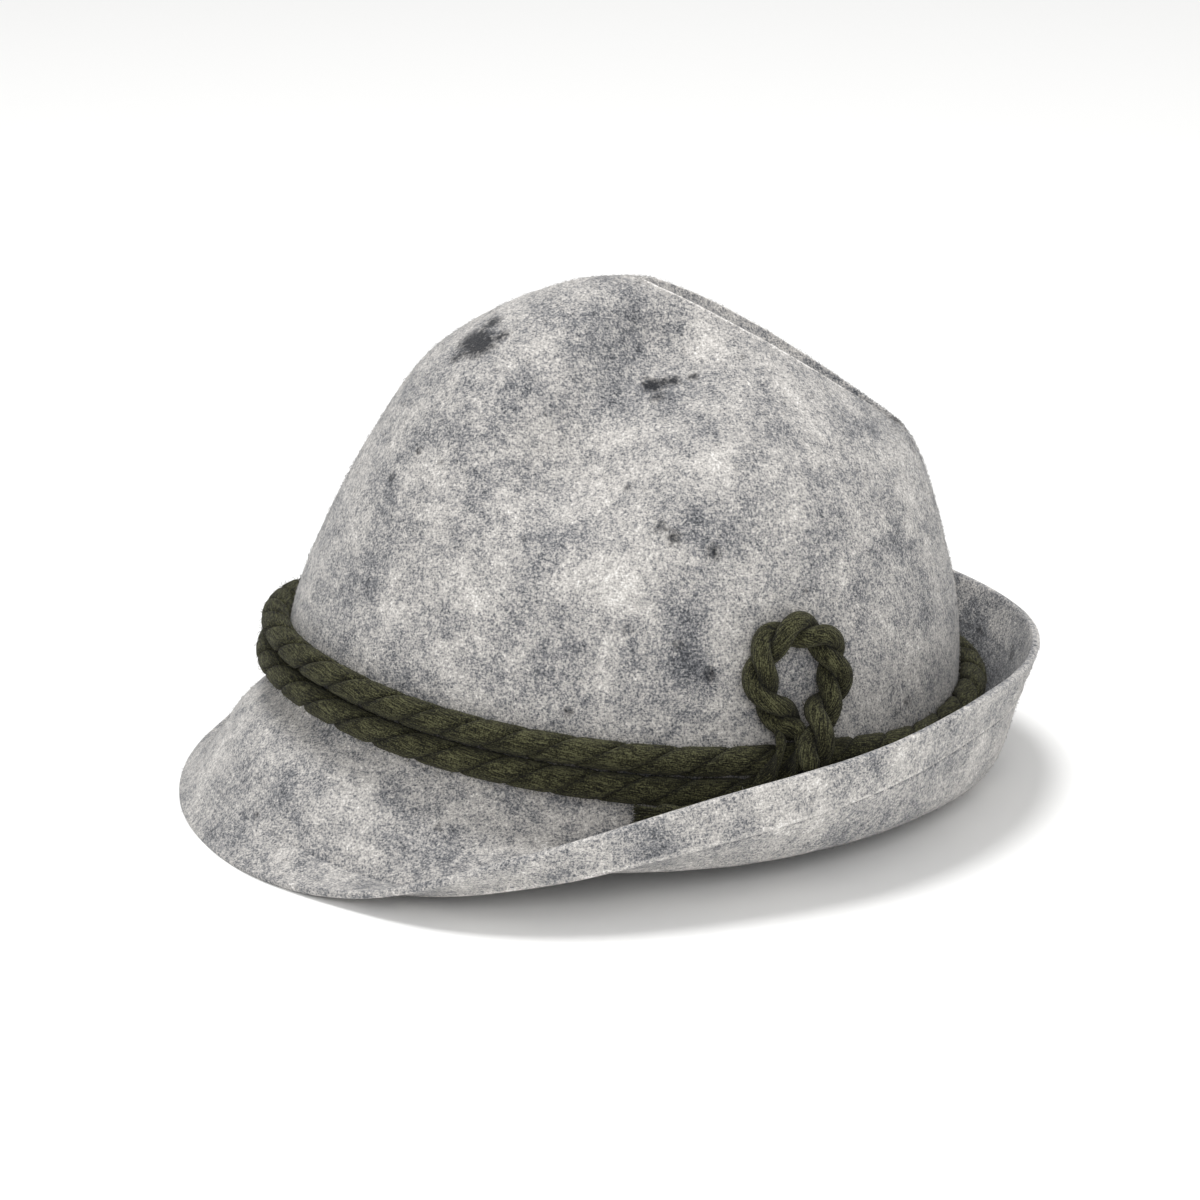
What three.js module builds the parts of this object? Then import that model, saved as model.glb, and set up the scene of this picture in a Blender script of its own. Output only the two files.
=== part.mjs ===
// Alpine hat of blocked wool felt, with a twisted cord laid twice round the crown and tied in a loop.
// Millimetres, +Z up. The front of the hat looks towards -Y and the wearer's left is +X.
// The origin is under the middle of the hat, on the surface that its brim rests on.
import * as THREE from 'three';
import { ParametricGeometry } from 'three/addons/geometries/ParametricGeometry.js';
import { mergeVertices } from 'three/addons/utils/BufferGeometryUtils.js';

// Felt
const feltThickness = 2.4;
const feltStepsAround = 72;
const turnLength = 6; // felt that bends from the crown's wall into the brim
const turnSlope = -85; // degrees, the wall's slope where the turn begins
const lipWidth = 13; // the pressed band along the brim's cut edge
const edgeRounding = 0.5; // how far the cut edge bulges past the lip

// Rest: the front stands up because the brim is turned down there and up behind
const restTilt = 9.55; // degrees
const restLift = 21.9; // the crown's foot above the surface; what reaches below it lies flat on it

// Cord
const cordDiameter = 7.6;
const strandDiameter = 4.6;
const loopDiameter = 9.6; // the loop's cord is twisted more loosely
const cordGap = 0.5; // clear space between the cord and what it lies on
const lowerRunHeight = 5.9; // cord centre above the crown's foot
const upperRunHeight = 14.4;

// Crown, from its foot up to the floor of the crease on top. Each row is one section: its height in
// front and behind, how far it reaches forward and back, half its width, and how much its sides bow up.
const crownRows = [
  { frontZ: 0, backZ: 0, front: 100, back: 102, half: 87, bow: 0 },
  { frontZ: 25.5, backZ: 25, front: 98.5, back: 102.5, half: 84, bow: 0 },
  { frontZ: 52, backZ: 48, front: 91.5, back: 98, half: 79.5, bow: 0 },
  { frontZ: 76, backZ: 66.5, front: 82.5, back: 91, half: 72.5, bow: 0 },
  { frontZ: 100, backZ: 81.5, front: 70.5, back: 84.5, half: 62, bow: 0 },
  { frontZ: 116.5, backZ: 90.5, front: 52.7, back: 79.5, half: 48, bow: 0.6 },
  { frontZ: 127.3, backZ: 94.5, front: 34.8, back: 76, half: 33.5, bow: 1.6 },
  { frontZ: 132.8, backZ: 95.8, front: 20.5, back: 74.5, half: 22.7, bow: 2.2 },
  { frontZ: 133.9, backZ: 96.1, front: 13.5, back: 73.8, half: 17.2, bow: 2.4 },
  { frontZ: 133.9, backZ: 96.1, front: 11, back: 73.4, half: 15, bow: 2.4 }, // ridges beside the crease
  { frontZ: 132, backZ: 94.3, front: 9.6, back: 72.1, half: 13.8, bow: 2.3 },
  { frontZ: 128.4, backZ: 91.4, front: 6.5, back: 69, half: 10.6, bow: 1.6 },
  { frontZ: 124, backZ: 88, front: 2.5, back: 64, half: 5.4, bow: 0 },
  { frontZ: 122, backZ: 86.5, front: -1, back: 59, half: 0, bow: 0 }, // floor of the crease
];

// Brim, from the front to the back of the hat in equal turns. The inner run bends from its own slope
// to the outer run's; slopes are in degrees above level, widths in millimetres. Rise is how much
// higher the cords lie on the crown there.
const brimRows = [
  { inner: -37.5, innerWidth: 18, outer: -66, outerWidth: 13, lip: -64, rise: 2.2 }, // front
  { inner: -41, innerWidth: 18, outer: -64, outerWidth: 13, lip: -49, rise: 1.8 },
  { inner: -56, innerWidth: 19, outer: -55, outerWidth: 12.5, lip: -3, rise: 0.4 },
  { inner: -70, innerWidth: 20.5, outer: -2, outerWidth: 13, lip: 50, rise: 0 },
  { inner: -62, innerWidth: 21, outer: 43, outerWidth: 14, lip: 82, rise: 0.8 }, // side
  { inner: -25, innerWidth: 20, outer: 66, outerWidth: 14.5, lip: 80, rise: 3.3 },
  { inner: 10, innerWidth: 18.5, outer: 79, outerWidth: 15.5, lip: 77, rise: 4.3 },
  { inner: 20, innerWidth: 17.5, outer: 82, outerWidth: 16.5, lip: 77, rise: 9 },
  { inner: 20, innerWidth: 17.5, outer: 80, outerWidth: 17, lip: 77, rise: 10.5 }, // back
];

// Hollows pressed into the crown, each along a line from one point to another and on both sides
const dents = [
  { from: [33, -12, 117], to: [54, -36, 90], width: 20, depth: 14 }, // pinch beside the front
];
const pressDirection = new THREE.Vector3(-0.9, 0.2, -0.35).normalize(); // on the wearer's left

// Loop on the wearer's left: angle round the crown from the front, height above the crown's foot, and
// how far the cord's centre stands off the felt
const loopRoute = [
  { angle: 103.9, height: 24.1, out: 5.4 }, // left leg, on the upper run
  { angle: 100.9, height: 29.3, out: 5.4 },
  { angle: 98.6, height: 37.5, out: 5.4 },
  { angle: 99.3, height: 45.9, out: 5.4 },
  { angle: 101.9, height: 50.5, out: 5.4 },
  { angle: 105.3, height: 51.1, out: 5.4 }, // top
  { angle: 108.8, height: 48.9, out: 5.4 },
  { angle: 111.6, height: 42.8, out: 5.4 },
  { angle: 112.4, height: 35.2, out: 5.4 },
  { angle: 111.2, height: 30.2, out: 6.4 },
  { angle: 109.2, height: 26, out: 9.6 },
  { angle: 108.1, height: 20.7, out: 13 }, // right leg, over both runs
  { angle: 107.7, height: 13, out: 13.6 },
];
// The wraps lean: each row is turned on from the wrap's own angle
const wrapAngles = [99.8, 102.9];
const wrapRoute = [
  { turn: 1.3, height: 18.8, out: 9.4 },
  { turn: 1, height: 15.9, out: 10.8 },
  { turn: 0.4, height: 10.2, out: 10.8 },
  { turn: 0, height: 4.8, out: 10.8 },
];
const tailRoute = [
  { angle: 81.5, height: -2.3, out: 10.6 }, // frayed end
  { angle: 87, height: -1.6, out: 10.6 },
  { angle: 92.5, height: -1.1, out: 10.6 },
  { angle: 97.5, height: -0.8, out: 10.6 },
];

const ridgeRow = 9;
const creaseFloorRow = crownRows.length - 1;
const brimEdgeRow = -4; // rows below 0 are the turn, the inner run, the outer run and the lip
const degree = Math.PI / 180;

function columnCurve(rows, first, second) {
  return new THREE.SplineCurve(rows.map((row) => new THREE.Vector2(row[first], second ? row[second] : 0)));
}

const frontProfile = columnCurve(crownRows, 'front', 'frontZ');
const backProfile = columnCurve(crownRows, 'back', 'backZ');
const sideProfile = columnCurve(crownRows, 'half', 'bow');

// The brim's table is mirrored past both ends, so it runs on smoothly through the front and the back
const mirroredBrim = [brimRows[1], ...brimRows, brimRows[brimRows.length - 2]];
const innerRun = columnCurve(mirroredBrim, 'inner', 'innerWidth');
const outerRun = columnCurve(mirroredBrim, 'outer', 'outerWidth');
const lipRun = columnCurve(mirroredBrim, 'lip');
const cordRise = columnCurve(mirroredBrim, 'rise');

function pressDents(point) {
  const pressed = point.clone();
  for (const dent of dents) {
    for (const side of [1, -1]) {
      const from = new THREE.Vector3(side * dent.from[0], dent.from[1], dent.from[2]);
      const to = new THREE.Vector3(side * dent.to[0], dent.to[1], dent.to[2]);
      const nearest = new THREE.Line3(from, to).closestPointToPoint(point, true, new THREE.Vector3());
      const push = dent.depth * Math.exp(-((point.distanceTo(nearest) / dent.width) ** 2));
      pressed.x += side * push * pressDirection.x;
      pressed.y += push * pressDirection.y;
      pressed.z += push * pressDirection.z;
    }
  }
  return pressed;
}

function crownPoint(angle, row) {
  const part = row / creaseFloorRow;
  const front = frontProfile.getPoint(part);
  const back = backProfile.getPoint(part);
  const side = sideProfile.getPoint(part);
  const forward = Math.cos(angle);
  const sideways = Math.sin(angle);
  const point = new THREE.Vector3(
    Math.max(0, side.x) * sideways,
    (back.x - front.x) / 2 - ((front.x + back.x) / 2) * forward,
    (front.y + back.y) / 2 + ((front.y - back.y) / 2) * forward + side.y * sideways ** 2,
  );
  return pressDents(point);
}

// Adds part of a strip of felt, an arc between two slopes, to a place (out, up) beside the crown
function addStrip(place, length, slopeFrom, slopeTo, part) {
  const bend = (slopeTo - slopeFrom) * degree * part;
  const chord = length * part * (Math.abs(bend) > 1e-6 ? Math.sin(bend / 2) / (bend / 2) : 1);
  const direction = slopeFrom * degree + bend / 2;
  place.x += chord * Math.cos(direction);
  place.y += chord * Math.sin(direction);
}

// How far along the brim's table an angle lies
function alongBrim(angle) {
  const turn = Math.abs(Math.atan2(Math.sin(angle), Math.cos(angle))) / Math.PI;
  return (1 + turn * (brimRows.length - 1)) / (mirroredBrim.length - 1);
}

function brimPoint(angle, row) {
  const at = alongBrim(angle);
  const inner = innerRun.getPoint(at);
  const outer = outerRun.getPoint(at);
  const lip = lipRun.getPoint(at);
  const strips = [
    [turnLength, turnSlope, inner.x],
    [inner.y, inner.x, outer.x],
    [outer.y, outer.x, outer.x],
    [lipWidth, lip.x, lip.x],
  ];
  const place = new THREE.Vector2(0, 0);
  strips.forEach(([length, slopeFrom, slopeTo], index) => {
    const part = THREE.MathUtils.clamp(-row - index, 0, 1);
    addStrip(place, length, slopeFrom, slopeTo, part);
  });
  const foot = crownPoint(angle, 0);
  const length = (crownRows[0].front + crownRows[0].back) / 2;
  const outward = new THREE.Vector2(Math.sin(angle) / crownRows[0].half, -Math.cos(angle) / length).normalize();
  return new THREE.Vector3(foot.x + outward.x * place.x, foot.y + outward.y * place.x, foot.z + place.y);
}

// The felt's outer face: rows above 0 are the crown, rows below 0 the brim's top
function feltPoint(angle, row) {
  return row >= 0 ? crownPoint(angle, row) : brimPoint(angle, row);
}

function feltNormal(angle, row) {
  const step = 1e-3;
  const low = Math.max(row - step, brimEdgeRow);
  const high = Math.min(row + step, creaseFloorRow);
  const along = feltPoint(angle, high).sub(feltPoint(angle, low));
  const around = feltPoint(angle + step, row).sub(feltPoint(angle - step, row));
  const normal = around.cross(along);
  if (row === creaseFloorRow) {
    const floor = crownRows[creaseFloorRow];
    normal.set(0, floor.frontZ - floor.backZ, floor.front + floor.back);
  }
  return normal.normalize();
}

// Turns a point of the upright hat to where it lies when the hat rests on its brim
function atRest(point) {
  const rested = point.clone().applyAxisAngle(new THREE.Vector3(1, 0, 0), -restTilt * degree);
  rested.z += restLift;
  return rested;
}

function span(from, to, steps) {
  return Array.from({ length: steps }, (_, index) => from + ((to - from) * index) / steps);
}

// The felt's section, down its outer face, round the cut edge and up its inner face
function feltSection() {
  const outer = [
    ...span(creaseFloorRow, ridgeRow, 4),
    ...span(ridgeRow, 0, 15),
    ...span(0, -1, 3),
    ...span(-1, -2, 4),
    ...span(-2, -3, 2),
    ...span(-3, brimEdgeRow, 1),
    brimEdgeRow,
  ];
  const inner = [
    ...span(brimEdgeRow, -3, 1),
    ...span(-3, -2, 2),
    ...span(-2, -1, 4),
    ...span(-1, 0, 3),
    ...span(0, ridgeRow, 9),
    ...span(ridgeRow, creaseFloorRow, 4),
    creaseFloorRow,
  ];
  return [
    ...outer.map((row) => ({ row, depth: 0, bulge: 0 })),
    { row: brimEdgeRow, depth: feltThickness / 2, bulge: edgeRounding },
    ...inner.map((row) => ({ row, depth: feltThickness, bulge: 0 })),
  ];
}

function feltBody() {
  const section = feltSection();
  const place = (u, v, target) => {
    const { row, depth, bulge } = section[Math.round(v * (section.length - 1))];
    const angle = (1 - u * 2) * Math.PI;
    const point = feltPoint(angle, row).addScaledVector(feltNormal(angle, row), -depth);
    if (bulge > 0) {
      const outward = feltPoint(angle, brimEdgeRow).sub(feltPoint(angle, brimEdgeRow + 0.1)).normalize();
      point.addScaledVector(outward, bulge);
    }
    target.copy(atRest(point));
    target.z = Math.max(target.z, 0);
  };
  return new ParametricGeometry(place, feltStepsAround, section.length - 1);
}

// A point beside the crown: its angle from the front, its height above the crown's foot, to which the
// cords' rise is added, and how far it stands off the felt
function besideCrown(angle, height, out) {
  const lifted = height + cordRise.getPoint(alongBrim(angle)).x;
  const row = Math.max(0, lifted) / crownRows[1].frontZ;
  const point = feltPoint(angle, row).addScaledVector(feltNormal(angle, Math.max(row, 0.02)), out);
  point.z += Math.min(0, lifted);
  return atRest(point);
}

// One whole run of cord round the crown
function cordRun(height) {
  const out = cordDiameter / 2 + cordGap;
  const angles = span(0, 2 * Math.PI, 32);
  const route = new THREE.CatmullRomCurve3(angles.map((angle) => besideCrown(angle, height, out)), true);
  return new THREE.TubeGeometry(route, 72, cordDiameter / 2, 10, true);
}

function cordPiece(points, diameter, steps, sides) {
  const section = new THREE.Shape();
  section.absarc(0, 0, diameter / 2, 0, 2 * Math.PI, false);
  const route = new THREE.CatmullRomCurve3(points);
  return new THREE.ExtrudeGeometry(section, { steps, curveSegments: sides / 2, extrudePath: route });
}

function alongRoute(route) {
  return route.map(({ angle, height, out }) => besideCrown(angle * degree, height, out));
}

function wrap(angle) {
  const points = wrapRoute.map(({ turn, height, out }) => besideCrown((angle + turn) * degree, height, out));
  return cordPiece(points, strandDiameter, 8, 8);
}

const woolFelt = new THREE.MeshStandardMaterial({ color: 0xabaaa7, roughness: 0.95, metalness: 0 });
const woolCord = new THREE.MeshStandardMaterial({ color: 0x39382b, roughness: 0.9, metalness: 0 });

function closed(geometry) {
  geometry.deleteAttribute('normal');
  geometry.deleteAttribute('uv');
  const merged = mergeVertices(geometry, 1e-3);
  merged.computeVertexNormals();
  return merged;
}

function piece(name, geometry, material) {
  const mesh = new THREE.Mesh(closed(geometry), material);
  mesh.name = name;
  return mesh;
}

const hat = new THREE.Group();
hat.add(piece('felt_body', feltBody(), woolFelt));
hat.add(piece('cord_lower', cordRun(lowerRunHeight), woolCord));
hat.add(piece('cord_upper', cordRun(upperRunHeight), woolCord));
hat.add(piece('cord_loop', cordPiece(alongRoute(loopRoute), loopDiameter, 36, 10), woolCord));
wrapAngles.forEach((angle, index) => {
  hat.add(piece(`loop_wrap_${index + 1}`, wrap(angle), woolCord));
});
hat.add(piece('cord_tail', cordPiece(alongRoute(tailRoute), cordDiameter - 0.6, 10, 10), woolCord));

export default hat;
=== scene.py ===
import math

import bpy
import numpy as np
from mathutils import Matrix, Vector, noise


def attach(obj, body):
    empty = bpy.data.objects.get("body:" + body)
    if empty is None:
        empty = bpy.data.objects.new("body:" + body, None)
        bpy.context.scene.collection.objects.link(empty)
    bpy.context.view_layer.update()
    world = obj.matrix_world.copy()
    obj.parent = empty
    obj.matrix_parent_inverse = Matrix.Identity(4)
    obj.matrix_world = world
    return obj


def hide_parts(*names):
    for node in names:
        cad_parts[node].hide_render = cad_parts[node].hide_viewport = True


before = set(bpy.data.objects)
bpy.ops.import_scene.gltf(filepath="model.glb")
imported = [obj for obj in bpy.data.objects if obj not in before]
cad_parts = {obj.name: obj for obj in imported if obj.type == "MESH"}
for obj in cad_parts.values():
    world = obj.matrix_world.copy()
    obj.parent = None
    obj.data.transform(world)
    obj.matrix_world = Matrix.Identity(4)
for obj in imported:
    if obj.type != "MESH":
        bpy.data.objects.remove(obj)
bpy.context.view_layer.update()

# Alpine hat of blocked wool felt with a twisted cord band. Metres, +Z up, the front of the hat looks
# towards -Y and the wearer's left is +X.

print("frame:", ", ".join(sorted(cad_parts)))

degree = math.pi / 180
mm = 0.001


# sRGB hex to the linear colour that a shader takes
def linearColour(hexCode):
    parts = [int(hexCode[start:start + 2], 16) / 255 for start in (1, 3, 5)]
    return [part / 12.92 if part <= 0.04045 else ((part + 0.055) / 1.055) ** 2.4 for part in parts] + [1.0]


# Adds a node, gives it its settings and socket values, and links other nodes' outputs into it
def addNode(tree, kind, settings=None, values=None, links=None):
    node = tree.nodes.new(kind)
    for name, value in (settings or {}).items():
        if name == "stops":
            ramp = node.color_ramp
            while len(ramp.elements) < len(value):
                ramp.elements.new(0.5)
            for element, (position, hexCode) in zip(ramp.elements, value):
                element.position = position
                element.color = linearColour(hexCode)
        else:
            setattr(node, name, value)
    for name, value in (values or {}).items():
        node.inputs[name].default_value = value
    for name, output in (links or {}).items():
        tree.links.new(output, node.inputs[name])
    return node


# Camera: the photograph's angle and framing
cameraSetup = {
    "azimuth": 77.77,  # degrees round the hat from its front
    "elevation": 18.25,
    "roll": -0.95,
    "distance": 1.544,
    "lens": 153.6,  # mm on a sensor 36 mm wide
    "aim": (-0.0174, 0.0008, 0.0501),  # the point in the middle of the picture
}


def makeCamera(setup):
    azimuth, elevation, roll = (setup[key] * degree for key in ("azimuth", "elevation", "roll"))
    back = Vector((
        math.sin(azimuth) * math.cos(elevation),
        -math.cos(azimuth) * math.cos(elevation),
        math.sin(elevation),
    ))
    right = Vector((math.cos(azimuth), math.sin(azimuth), 0))
    up = back.cross(right)
    rolledRight = right * math.cos(roll) + up * math.sin(roll)
    rolledUp = up * math.cos(roll) - right * math.sin(roll)
    data = bpy.data.cameras.new("photo_camera")
    data.lens = setup["lens"]
    data.clip_end = 20
    camera = bpy.data.objects.new("photo_camera", data)
    turn = Matrix((rolledRight, rolledUp, back)).transposed().to_4x4()
    camera.matrix_world = Matrix.Translation(Vector(setup["aim"]) + back * setup["distance"]) @ turn
    bpy.context.scene.collection.objects.link(camera)
    bpy.context.scene.camera = camera


makeCamera(cameraSetup)
bpy.context.scene.view_settings.view_transform = "Standard"
print("camera set")

# Felt: one blocked cap. Each row of the crown is a section: its height in front and behind, how far it
# reaches forward and back, half its width, and how much its sides bow up. Each row of the brim is an
# eighth of the way from the front to the back: slopes in degrees above level, widths in metres, and how
# much higher the cords lie on the crown there.
felt = {
    "thickness": 2.4 * mm,
    "turnLength": 6 * mm,  # felt that bends from the crown's wall into the brim
    "turnSlope": -85,
    "lipWidth": 13 * mm,  # the pressed band along the cut edge
    "restTilt": 9.55,  # degrees
    "restLift": 21.9 * mm,
    "stepsAround": 320,
    "stepsOverEdge": 7,
    "edgeBulge": 0.45,  # how round the cut edge is, 1 for a half circle
    "waviness": 0.16 * mm,  # the hand-blocked surface isn't quite even
    "waveSize": 11 * mm,
    "pressLine": 0.42 * mm,  # the low ridge under the brim, where the lip was pressed over
    "pressLineWidth": 0.032,  # in rows
    "pressGroove": 0.9,  # the groove beside that ridge, as a share of it
    "pressGroovePlace": 1.9,  # in widths of the line
    "pressLineAbove": 0.3,  # the line on the brim's top, as a share of the one below
}
# Painted light in the felt's tone: how much lighter it is painted where light catches a ridge, and how much
# darker where shade falls
feltPaintedLight = {
    # painted highlight on the press line's ridge under the brim and painted shade in its groove; painted
    # shade along the line on the brim's top
    "line": 0.35,  # on the press line under the brim
    "paintedLineShadeAbove": -0.2,
    # painted highlight along the ridges beside the crease, fading towards the back
    "paintedRidgeHighlight": 0.95,  # on the ridges beside the crease
    "highlightPlace": -0.4,  # in rows from the ridge's own
    "highlightWidth": 0.36,  # in rows
    "highlightFront": 1.1,  # less than 2 lets it fade towards the back
    # painted shade in the crease past the ridges
    "crease": -0.05,
    "creaseRows": (0.2, 0.8),  # past the ridge, where it starts and where it is full
    # painted shade in the trough between the crown and the brim behind
    "paintedTroughShade": -1.4,  # between the crown and the brim behind
    "paintedTroughRows": (-3.2, -1.5, -0.3, 0),
    "paintedTroughShares": (0.2, 1, 1, 0),
}
crownColumns = ("frontZ", "backZ", "front", "back", "half", "bow")
crownRows = np.array([
    (0, 0, 100, 102, 87, 0),
    (25.5, 25, 98.5, 102.5, 84, 0),
    (52, 48, 91.5, 98, 79.5, 0),
    (76, 66.5, 82.5, 91, 72.5, 0),
    (100, 81.5, 70.5, 84.5, 62, 0),
    (116.5, 90.5, 52.7, 79.5, 48, 0.6),
    (127.3, 94.5, 34.8, 76, 33.5, 1.6),
    (132.8, 95.8, 20.5, 74.5, 22.7, 2.2),
    (133.9, 96.1, 13.5, 73.8, 17.2, 2.4),
    (133.9, 96.1, 11, 73.4, 15, 2.4),  # ridges beside the crease
    (132, 94.3, 9.6, 72.1, 13.8, 2.3),
    (128.4, 91.4, 6.5, 69, 10.6, 1.6),
    (124, 88, 2.5, 64, 5.4, 0),
    (122, 86.5, -1, 59, 0, 0),  # floor of the crease
]) * mm
brimColumns = ("inner", "innerWidth", "outer", "outerWidth", "lip", "rise")
brimRows = np.array([
    (-37.5, 18 * mm, -66, 13 * mm, -64, 2.2 * mm),  # front
    (-41, 18 * mm, -64, 13 * mm, -49, 1.8 * mm),
    (-56, 19 * mm, -55, 12.5 * mm, -3, 0.4 * mm),
    (-70, 20.5 * mm, -2, 13 * mm, 50, 0 * mm),
    (-62, 21 * mm, 43, 14 * mm, 82, 0.8 * mm),  # side
    (-25, 20 * mm, 66, 14.5 * mm, 80, 3.3 * mm),
    (10, 18.5 * mm, 79, 15.5 * mm, 77, 4.3 * mm),
    (20, 17.5 * mm, 82, 16.5 * mm, 77, 9 * mm),
    (20, 17.5 * mm, 80, 17 * mm, 77, 10.5 * mm),  # back
])
# Hollows pressed along a line on both sides: the pinch beside the front, and the crease's rounded front end
dents = [
    {"start": (33, -12, 117), "end": (54, -36, 90), "width": 20 * mm, "depth": 14 * mm},
    {"start": (0, -16, 134), "end": (0, -8, 134), "width": 9 * mm, "depth": 2.5 * mm},
]
pressDirection = np.array((-0.9, 0.2, -0.35)) / math.hypot(0.9, 0.2, 0.35)  # on the wearer's left
ridgeRow = 9
floorRow = len(crownRows) - 1
lipRow = -3
edgeRow = -4  # rows below 0 are the turn, the inner run, the outer run and the lip


# Smooth curve through the rows of a table, one column for each value
def alongTable(table, at):
    at = np.clip(at, 0, len(table) - 1)
    index = np.minimum(np.floor(at).astype(int), len(table) - 2)
    part = (at - index)[..., None]
    before, start = table[np.maximum(index - 1, 0)], table[index]
    end, after = table[index + 1], table[np.minimum(index + 2, len(table) - 1)]
    slope = (end - before) * part
    bend = (2 * before - 5 * start + 4 * end - after) * part ** 2
    return (2 * start + slope + bend + (3 * start - before - 3 * end + after) * part ** 3) / 2


def pressDents(points):
    pressed = points.copy()
    for dent in dents:
        for side in (1, -1):
            mirror = np.array((side, 1, 1))
            start, end = np.array(dent["start"]) * mirror * mm, np.array(dent["end"]) * mirror * mm
            run = end - start
            share = np.clip((points - start) @ run / (run @ run), 0, 1)
            away = np.linalg.norm(points - start - share[..., None] * run, axis=-1)
            push = dent["depth"] * np.exp(-(away / dent["width"]) ** 2)
            pressed += push[..., None] * pressDirection * mirror
    return pressed


def crownPoint(angle, row):
    values = dict(zip(crownColumns, np.moveaxis(alongTable(crownRows, row), -1, 0)))
    forward = np.cos(angle)
    y = (values["back"] - values["front"]) / 2 - (values["front"] + values["back"]) / 2 * forward
    z = (values["frontZ"] + values["backZ"]) / 2 + (values["frontZ"] - values["backZ"]) / 2 * forward
    z += values["bow"] * np.sin(angle) ** 2
    return pressDents(np.stack((np.maximum(values["half"], 0) * np.sin(angle), y, z), -1))


def brimValues(angle):
    turn = np.abs(np.arctan2(np.sin(angle), np.cos(angle))) / math.pi
    mirrored = np.concatenate((brimRows[1:2], brimRows, brimRows[-2:-1]))
    values = alongTable(mirrored, 1 + turn * (len(brimRows) - 1))
    return dict(zip(brimColumns, np.moveaxis(values, -1, 0)))


def brimPoint(angle, row):
    values = brimValues(angle)
    strips = (
        (felt["turnLength"], felt["turnSlope"], values["inner"]),
        (values["innerWidth"], values["inner"], values["outer"]),
        (values["outerWidth"], values["outer"], values["outer"]),
        (felt["lipWidth"], values["lip"], values["lip"]),
    )
    out, up = np.zeros_like(row), np.zeros_like(row)
    for index, (length, slopeFrom, slopeTo) in enumerate(strips):
        part = np.clip(-row - index, 0, 1)
        halfBend = (slopeTo - slopeFrom) * degree * part / 2
        chord = length * part * np.sinc(halfBend / math.pi)
        out += chord * np.cos(slopeFrom * degree + halfBend)
        up += chord * np.sin(slopeFrom * degree + halfBend)
    foot = crownPoint(angle, np.zeros_like(row))
    footRow = dict(zip(crownColumns, crownRows[0]))
    length = (footRow["front"] + footRow["back"]) / 2
    away = np.stack((np.sin(angle) / footRow["half"], -np.cos(angle) / length), -1)
    away /= np.linalg.norm(away, axis=-1, keepdims=True)
    return foot + np.concatenate((away * out[..., None], up[..., None]), -1)


# The felt's outer face: rows above 0 are the crown, rows below 0 the brim's top
def feltPoint(angle, row):
    angle, row = np.broadcast_arrays(np.asarray(angle, float), np.asarray(row, float))
    crown = crownPoint(angle, np.maximum(row, 0))
    return np.where((row >= 0)[..., None], crown, brimPoint(angle, np.minimum(row, 0)))


def feltNormal(angle, row):
    angle, row = np.broadcast_arrays(np.asarray(angle, float), np.asarray(row, float))
    step = 1e-3
    before, after = np.maximum(row - step, edgeRow), np.minimum(row + step, floorRow)
    along = feltPoint(angle, after) - feltPoint(angle, before)
    around = feltPoint(angle + step, row) - feltPoint(angle - step, row)
    normal = np.cross(around, along)
    floor = dict(zip(crownColumns, crownRows[floorRow]))
    floorNormal = np.array((0, floor["frontZ"] - floor["backZ"], floor["front"] + floor["back"]))
    normal = np.where((row >= floorRow - 1e-9)[..., None], floorNormal, normal)
    return normal / np.linalg.norm(normal, axis=-1, keepdims=True)


# Turns points, or directions, of the upright hat to where they lie when the hat rests on its brim
def atRest(points, lift=felt["restLift"]):
    sine, cosine = math.sin(-felt["restTilt"] * degree), math.cos(felt["restTilt"] * degree)
    x, y, z = np.moveaxis(points, -1, 0)
    return np.stack((x, y * cosine - z * sine, y * sine + z * cosine + lift), -1)


# Faces between neighbouring points of a grid whose rows may close round
def gridFaces(rows, columns, closedRows=False, closedColumns=True):
    row = np.arange(rows if closedRows else rows - 1)[:, None]
    column = np.arange(columns if closedColumns else columns - 1)[None, :]
    nextRow, nextColumn = (row + 1) % rows, (column + 1) % columns
    corners = (row * columns + column, row * columns + nextColumn,
               nextRow * columns + nextColumn, nextRow * columns + column)
    return np.stack(corners, -1).reshape(-1, 4)


def makePiece(name, points, faces, material, nodes, merge=0.0, attributes=None):
    mesh = bpy.data.meshes.new(name)
    mesh.from_pydata(points.tolist(), [], [list(face) for face in faces])
    for key, values in (attributes or {}).items():
        data = mesh.attributes.new(key, "FLOAT_VECTOR", "POINT").data
        data.foreach_set("vector", np.asarray(values, np.float32).ravel())
    mesh.polygons.foreach_set("use_smooth", [True] * len(mesh.polygons))
    mesh.materials.append(material)
    mesh.update()
    piece = bpy.data.objects.new(name, mesh)
    bpy.context.scene.collection.objects.link(piece)
    if merge:
        weld = piece.modifiers.new("weld", "WELD")
        weld.merge_threshold = merge
        applyModifiers(piece)
    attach(piece, "root")
    if nodes:
        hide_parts(*nodes)
    return piece


def applyModifiers(piece):
    graph = bpy.context.evaluated_depsgraph_get()
    evaluated = piece.evaluated_get(graph)
    mesh = bpy.data.meshes.new_from_object(evaluated, preserve_all_data_layers=True, depsgraph=graph)
    piece.modifiers.clear()
    piece.data = mesh


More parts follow.
